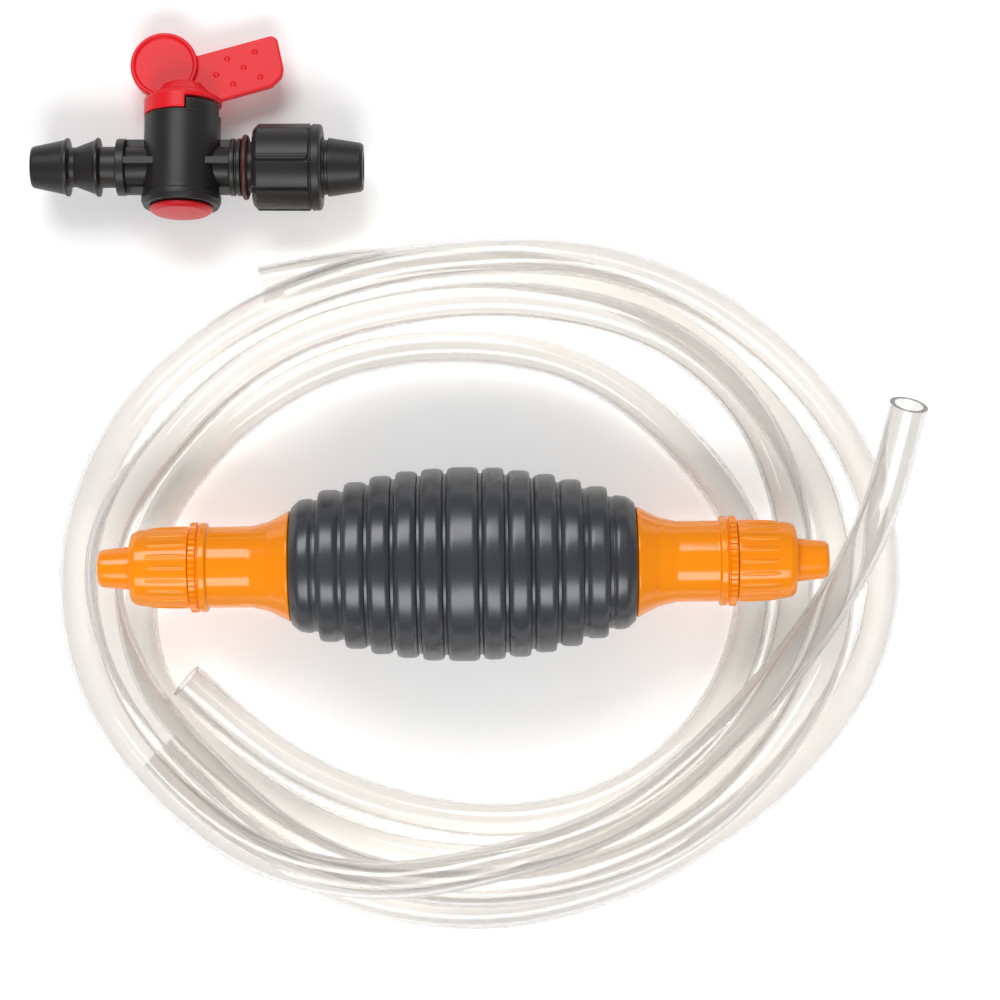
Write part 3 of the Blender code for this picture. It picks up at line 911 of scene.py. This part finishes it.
def finer(line: np.ndarray, times: int = 2, passes: int = 2) -> np.ndarray:
    """Eases a line's small kinks and adds points between its points on a smooth curve.

    Args:
        line: Points along a centre line.
        times: How many steps each old step becomes.
        passes: How often the kinks are eased.

    Returns:
        The finer line, with the same two ends.
    """
    for _ in range(passes):
        line = np.vstack([line[:1], (line[:-2] + 2 * line[1:-1] + line[2:]) / 4, line[-1:]])
    ends = np.vstack([2 * line[0] - line[1], line, 2 * line[-1] - line[-2]])
    a, b, c, d = ends[:-3, None], ends[1:-2, None], ends[2:-1, None], ends[3:, None]
    t = np.linspace(0, 1, times, endpoint=False)[:, None]
    curve = b + (c - a) * t / 2 + (2 * a - 5 * b + 4 * c - d) * t**2 / 2 + (3 * b - a - 3 * c + d) * t**3 / 2
    return np.vstack([curve.reshape(-1, 3), line[-1:]])


@dataclass
class HosePair:
    """The two loose hoses, their lay and their tube."""

    outside: float = 12.0
    bore: float = 9.0
    step: float = 5.0
    gap: float = 12.8
    floor: float = 6.1
    sides: int = 64
    shift: Triple = (0.04, -1.26, 0.0)

    @staticmethod
    def suction_route() -> list[tuple[float, ...]]:
        """The suction hose from its inner cut end to its outer one."""
        return [
            (-78, -105, 13), (-47, -131, 6), (-9, -147, 6), (32, -151, 6), (71, -137, 6), (97, -105, 6),
            (102, -65, 6), (80, -30, 6), (47, -6, 6), (6, 1, 6), (-34, -6, 6), (-69, -29, 6), (-91, -63, 6),
            (-90, -104, 6), (-63, -135, 6), (-28, -156, 6), (13, -164, 6), (54, -159, 6), (89, -138, 6),
            (112, -104, 6), (116, -63, 11), (103, -24, 17), (74, 3, 17), (34, 14, 14), (-7, 13, 11),
            (-47, 1, 11), (-79, -25, 14), (-103, -62, 16), (-96, -102, 18), (-68, -136, 18), (-35, -161, 16),
            (5, -171, 16), (46, -168, 17), (84, -152, 17), (113, -123, 13), (129, -86, 8), (124, -46, 6),
            (101, -12, 6), (68, 13, 6), (29, 26, 6), (-12, 27, 6), (-53, 21, 6),
        ]

    @staticmethod
    def discharge_route() -> list[tuple[float, ...]]:
        """The discharge hose from its raised end, over the coil and round under it."""
        return [
            (149, -21, 37), (141, -55, 22), (122, -90, 17), (92, -124, 18), (60, -149, 20), (22, -162, 25),
            (-18, -167, 28), (-57, -157, 26), (-88, -132, 19), (-109, -97, 12), (-111, -57, 8),
            (-94, -20, 8), (-62, 7, 14), (-25, 22, 18), (15, 28, 18), (55, 26, 17), (92, 11, 12),
            (123, -16, 8), (142, -51, 6), (142, -91, 6), (122, -126, 6), (92, -153, 6), (56, -172, 6),
            (16, -180, 6), (-24, -174, 6), (-59, -156, 6), (-89, -129, 6),
        ]

    def tube(self, name: str, line: np.ndarray) -> Mesh:
        """A hollow tube along a centre line given in metres."""
        path = bpy.data.meshes.new(name)
        path.from_pydata(line.tolist(), [(i, i + 1) for i in range(len(line) - 1)], [])
        values = {"Radius": self.outside / 2 * MM, "Sides": self.sides, "Material": CLEAR_HOSE.material()}
        wall = held(grown(held(path), hose_tree(), values))
        thick = wall.modifiers.new("wall", "SOLIDIFY")
        thick.thickness, thick.offset = (self.outside - self.bore) / 2 * MM, -1.0
        thick.use_rim = True
        return baked(wall)

    def build(self) -> None:
        shift = np.array(self.shift)
        routes = (self.suction_route(), self.discharge_route())
        lines = [smooth_route(route, self.step) + shift for route in routes]
        for word, line in zip(("suction", "discharge"), ease_apart(lines, self.step, self.gap, self.floor)):
            line = line * MM
            tube = self.tube(f"{word}_hose_tube", finer(line))
            piece = shown(tube, CLEAR_HOSE, "pump", [f"{word}_hose"])


# ---- flow valve


@dataclass
class FlowValve:
    """The in-line valve: X along the flow, Z along the stem, -Y towards the viewer."""

    place: Matrix
    segments: int = 96
    bore: float = 4.2
    web_reach: float = 8.8
    web_half: float = 1.05
    pads: int = 8
    first_pad: float = math.radians(3.0)
    pad_groove: float = 1.1
    thread_pitch: float = 2.0
    thread_height: float = 0.5

    def arms(self) -> Shape:
        """The barbed inlet and the threaded outlet as one turned bar through the barrel."""
        outline = (
            (-47.3, 0), (-47.3, 6.2, 0.3), (-46.6, 6.6, 0.4), (-37.0, 8.6, 0.5), (-36.3, 9.2, 0.2),
            (-35.6, 9.2, 0.2), (-35.1, 6.4, 0.5), (-33.6, 6.2, 0.8), (-27.4, 8.5, 0.6), (-26.6, 9.3, 0.2),
            (-25.9, 9.3, 0.2), (-25.3, 6.5, 0.5), (-20.3, 6.5, 0.4), (-20.3, 9.0, 0.4), (-17.5, 9.0, 0.4),
            (-17.5, 6.5, 0.5), (15.5, 6.5, 0.5), (15.5, 9.1, 0.35), (17.1, 9.1, 0.35), (17.1, 8.1, 0.2),
            (17.7, 8.1, 0.2), (17.7, 9.1, 0.35), (19.0, 9.1, 0.35), (19.0, 8.1, 0.3), (30.6, 8.1, 0.3),
            (30.7, 8.9, 0.2), (45.3, 8.9, 0.3), (45.4, 8.6, 0.2), (46.3, 8.6, 0.1), (46.35, 9.3, 0.3),
            (56.5, 7.75, 0.4), (57.4, 7.1, 0.4), (57.4, 0),
        )

        def relief(along: np.ndarray, turn: np.ndarray) -> np.ndarray:
            """The outlet's screw thread."""
            climb = (along - turn / math.tau * self.thread_pitch) / self.thread_pitch
            return self.thread_height * pulse(climb, 0.3, 0.4) * fade(along, 31.8, 44.2, 0.8)

        return spun(rounded(outline, 0.45, loop=False), self.segments, Axis.X, relief)

    def barrel(self) -> Shape:
        """The upright barrel with its rim, open for the plug."""
        outline = (
            (-12.9, 7.8, 0.15), (-12.9, 11.9, 0.5), (-11.2, 12.6, 0.5), (-9.6, 12.6, 0.3),
            (-9.1, 12.0, 0.3), (14.9, 12.1, 0.2), (16.0, 12.2, 0.4), (16.0, 7.8, 0.2),
        )
        return spun(rounded(outline, 1.2), self.segments, Axis.Z)

    def cross_bar(self, start: float, end: float) -> Shape:
        """A bar of plus-shaped section along the flow."""
        arm, half = self.web_reach, self.web_half
        corners, section = ((arm, -half), (arm, half), (half, half)), []
        for cos, sin in ((1, 0), (0, 1), (-1, 0), (0, -1)):
            section += [(y * cos - z * sin, y * sin + z * cos) for y, z in corners]
        return sweep([np.array([(x, y, z) for y, z in section]) for x in (start, end)])

    def rod(self, start: float, end: float, radius: float, axis: Axis) -> Shape:
        """A plain round bar, for cutting bores."""
        return spun(np.array([(start, 0), (start, radius), (end, radius), (end, 0)]), 48, axis)

    def body(self) -> None:
        """Barrel, arms, webs and stop, with the bores cut through."""
        core = spun(np.array([(-12.6, 0), (-12.6, 11.7), (15.7, 11.7), (15.7, 0)]), 72, Axis.Z)
        joins = [self.arms(), self.cross_bar(-18.2, -6.3), self.cross_bar(6.3, 16.4),
                 moved(self.barrel(), Matrix.Rotation(math.radians(1.3), 4, "Z")),
                 sector((11.2, 78.8), (8.6, 11.9), (15.0, 19.5))]
        cuts = [self.rod(-48.5, 58.5, self.bore, Axis.X), self.rod(-14.0, 17.0, 7.85, Axis.Z)]
        mesh = worked("valve_body_moulding", core, joins, cuts)
        mesh.transform(self.place)
        shown(mesh, BLACK_PLASTIC, "pump", ["valve_body"])

    def lever(self) -> None:
        """Hub, skirt, coin grip and wing, moulded in one."""
        hub_line = (
            (20.0, 0), (20.0, 9.6), (16.3, 9.6), (16.3, 12.3, 0.3), (21.7, 12.3, 0.5), (22.3, 11.2, 0.6),
            (23.0, 10.5, 0.5), (24.0, 8.2, 1.0), (27.1, 5.6, 0.8), (27.6, 3.5, 1.0), (27.7, 0),
        )
        coin_line = (
            (-1.45, 0), (-1.45, 9.3, 0.2), (-2.25, 9.5, 0.3), (-2.25, 10.4, 0.4), (-1.8, 10.7, 0.4),
            (1.8, 10.7, 0.4), (2.25, 10.4, 0.4), (2.25, 9.5, 0.3), (1.45, 9.3, 0.2), (1.45, 0),
        )
        hub = spun(rounded(hub_line, 0.8, loop=False), self.segments, Axis.Z)
        coin = spun(rounded(coin_line, 1.0, loop=False), self.segments, Axis.Y)
        coin = moved(coin, Matrix.Translation((-6.1, 0, 33.0)))
        notch = sector((8.8, 170.7), (8.0, 14.0), (15.0, 20.4))
        socket = self.rod(15.0, 26.4, 4.3, Axis.Z)
        mesh = worked("valve_lever_moulding", hub, [coin, self.wing()], [notch, socket])
        mesh = softened(mesh, voxel=0.22, passes=4)
        mesh.transform(self.place)
        shown(mesh, RED_PLASTIC, "valve_key", ["valve_lever"])

    def wing(self) -> Shape:
        """The flat wing, its outline rounded and its rim eased."""
        corners = (
            (-3.0, 34.5, 1.0), (4.6, 36.4, 3.0), (27.9, 43.0, 1.6), (29.7, 41.9, 1.4), (31.8, 32.4, 2.0),
            (31.4, 29.4, 2.5), (28.2, 26.2, 3.0), (12.6, 21.7, 2.0), (10.0, 21.0, 1.0), (6.0, 21.0, 0.5),
            (6.0, 26.9, 0.5), (-3.0, 26.9, 0.5),
        )
        line = rounded(corners, 1.0)
        middle = line.mean(0)
        rings = []
        for y, inset in ((-1.3, 0.35), (-1.05, 0.0), (1.05, 0.0), (1.3, 0.35)):
            shrunk = middle + (line - middle) * (1 - inset / 14)
            rings.append(np.column_stack([shrunk[:, 0], np.full(len(line), y), shrunk[:, 1]]))
        return sweep(rings)

    def bumps(self) -> None:
        """Low round grip bumps on both faces of the wing."""
        dome = spun(rounded(((-1.75, 0), (-1.75, 0.35, 0.3), (-1.25, 1.15, 0.5), (1.25, 1.15, 0.5),
                             (1.75, 0.35, 0.3), (1.75, 0)), 0.4, loop=False), 24, Axis.Y)
        spots = ((22.6, 37.5), (13.9, 35.2), (19.2, 32.4), (10.5, 30.0), (24.5, 29.3), (15.9, 26.9))
        shapes = [moved(dome, Matrix.Translation((x, 0, z))) for x, z in spots]
        mesh = mesh_of("valve_lever_bumps", together(shapes), self.place)
        shown(mesh, RED_PLASTIC, "valve_key", ["valve_lever"])

    def plug(self) -> None:
        """The turning plug with its domed head and cross bore."""
        outline = (
            (-15.5, 0), (-15.4, 4.0, 3.0), (-15.0, 8.6, 1.2), (-14.0, 10.0, 0.8), (-13.2, 10.0, 0.3),
            (-13.2, 7.3, 0.2), (-10.2, 7.2, 0.1), (-10.2, 5.9, 0.1), (-8.4, 5.9, 0.1), (-8.4, 7.2, 0.1),
            (8.4, 7.2, 0.1), (8.4, 5.9, 0.1), (10.2, 5.9, 0.1), (10.2, 7.2, 0.1), (15.0, 7.2, 0.2),
            (15.0, 4.0, 0.3), (26.0, 4.0, 0.5), (26.0, 0),
        )
        base = spun(rounded(outline, 1.5, loop=False), self.segments, Axis.Z)
        mesh = worked("valve_plug_turned", base, [], [self.rod(-11.0, 11.0, 3.6, Axis.X)])
        mesh.transform(self.place)
        shown(mesh, PLUG_RED, "valve_key", ["valve_plug"])

    def lock_nut(self) -> None:
        """The lock nut: grip pads between narrow grooves, and a plain end flange."""
        outline = (
            (22.8, 12.0, 0.4), (24.4, 13.7, 0.5), (40.6, 13.75, 0.3), (40.9, 13.2, 0.2), (41.3, 13.2, 0.2),
            (41.5, 13.7, 0.3), (43.9, 13.6, 0.5), (44.5, 12.8, 0.4), (44.5, 9.8, 0.3), (22.8, 9.8, 0.3),
        )
        line = rounded(outline, 0.6)
        inner = line[:, 1] < 9.9

        def relief(along: np.ndarray, turn: np.ndarray) -> np.ndarray:
            """Narrow grooves between the pads."""
            phase = (turn - self.first_pad) / math.tau * self.pads
            groove = -self.pad_groove * pulse(phase, 0.11, 0.1) * fade(along, 23.2, 40.2, 0.6)
            return np.where(inner[:, None], 0.0, groove)

        mesh = mesh_of("lock_nut_moulding", spun(line, 320, Axis.X, relief), self.place)
        shown(mesh, BLACK_PLASTIC, "valve_lock_nut", ["lock_nut"])

    def thread_ring(self) -> None:
        """The seal ring behind the lock nut."""
        turns = np.linspace(0, math.tau, 28, endpoint=False)
        middle, radius, half = 20.3, 9.4, 0.95
        line = np.column_stack([middle + half * np.sin(turns), radius + half * np.cos(turns)])
        mesh = mesh_of("thread_seal_ring", spun(line, 128), self.place)
        shown(mesh, THREAD_SEAL, "valve_seal", ["thread_o_ring"])

    def build(self) -> None:
        """Makes the valve's pieces and dresses its inner ones."""
        self.body()
        self.lever()
        self.bumps()
        self.plug()
        self.lock_nut()
        self.thread_ring()
        for node in ("plug_o_ring_upper", "plug_o_ring_lower"):
            dressed(node, SEAL_RUBBER)


# ---- stage


@dataclass(frozen=True)
class SoftLamp:
    """One large soft lamp, aimed at a point on the table."""

    name: str
    place: Triple
    aim: Triple
    size: tuple[float, float]
    power: float

    def build(self) -> None:
        """Puts the lamp in the scene."""
        lamp = bpy.data.lights.new(self.name, "AREA")
        lamp.shape, lamp.energy = "RECTANGLE", self.power
        lamp.size, lamp.size_y = self.size
        holder = bpy.data.objects.new(self.name, lamp)
        bpy.context.scene.collection.objects.link(holder)
        holder.location = self.place
        holder.rotation_euler = (Vector(self.aim) - Vector(self.place)).to_track_quat("-Z", "Y").to_euler()


@dataclass
class Studio:
    """Camera, floor, world light and lamps."""

    camera_place: Triple = (0.02244, -0.05006, 0.8944)
    camera_roll: float = -0.72
    lens: float = 100.0
    sensor: float = 36.0
    farthest: float = 20.0
    floor_size: float = 6.0
    floor_shade: float = 0.97
    floor_roughness: float = 0.9
    floor_glow: float = 0.12
    world_light: float = 0.28

    def camera(self) -> None:
        view = bpy.data.cameras.new("view")
        view.lens, view.sensor_width, view.clip_end = self.lens, self.sensor, self.farthest
        holder = bpy.data.objects.new("view", view)
        holder.location = self.camera_place
        holder.rotation_euler = (0.0, 0.0, math.radians(self.camera_roll))
        bpy.context.scene.collection.objects.link(holder)
        bpy.context.scene.camera = holder

    def floor(self) -> None:
        """A plain pale table top."""
        half = self.floor_size / 2
        mesh = bpy.data.meshes.new("table_top")
        corners = [(-half, -half, 0), (half, -half, 0), (half, half, 0), (-half, half, 0)]
        mesh.from_pydata(corners, [], [(0, 1, 2, 3)])
        material, _, shader = blank_material("pale_table")
        filled(shader, {
            "Base Color": (*(self.floor_shade,) * 3, 1.0), "Roughness": self.floor_roughness,
            "Emission Color": (1.0, 1.0, 1.0, 1.0), "Emission Strength": self.floor_glow,
        })
        mesh.materials.append(material)
        held(mesh)

    def light(self) -> None:
        """World light and soft lamps."""
        world = bpy.data.worlds.new("soft_room")
        world.use_nodes = True
        sky = world.node_tree.nodes["Background"]
        sky.inputs["Color"].default_value = (1.0, 1.0, 1.0, 1.0)
        sky.inputs["Strength"].default_value = self.world_light
        bpy.context.scene.world = world
        for lamp in (
            SoftLamp("lamp_front", (-0.04, -1.16, 1.28), (0, -0.05, 0), (1.3, 0.7), 17.0),
            SoftLamp("lamp_back", (-0.30, 1.02, 1.30), (0, -0.05, 0), (1.1, 0.72), 15.5),
        ):
            lamp.build()

    def build(self) -> None:
        """Lays the floor and lights it."""
        self.floor()
        self.light()
        bpy.context.scene.view_settings.view_transform = "Standard"


def valve_frame() -> Matrix:
    """Where the valve's own axes lie: flow turned slightly on the table, stem drooping."""
    cos, sin = math.cos(VALVE_DROOP), math.sin(VALVE_DROOP)
    tipped = Matrix(((1, 0, 0), (0, -sin, cos), (0, -cos, -sin)))
    return Matrix.Translation(VALVE_PLACE) @ Matrix.Rotation(VALVE_TURN, 4, "Z") @ tipped.to_4x4()


def main() -> None:
    logging.basicConfig(level=logging.INFO, format="%(name)s %(message)s")
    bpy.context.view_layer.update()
    studio = Studio()
    studio.camera()
    HosePair().build()
    pump = Matrix.Translation(PUMP_PLACE)
    SqueezeBulb(pump).build()
    for side in Side:
        EndFitting(side, pump).build()
    FlowValve(valve_frame()).build()
    studio.build()


if __name__ == "__main__":
    main()
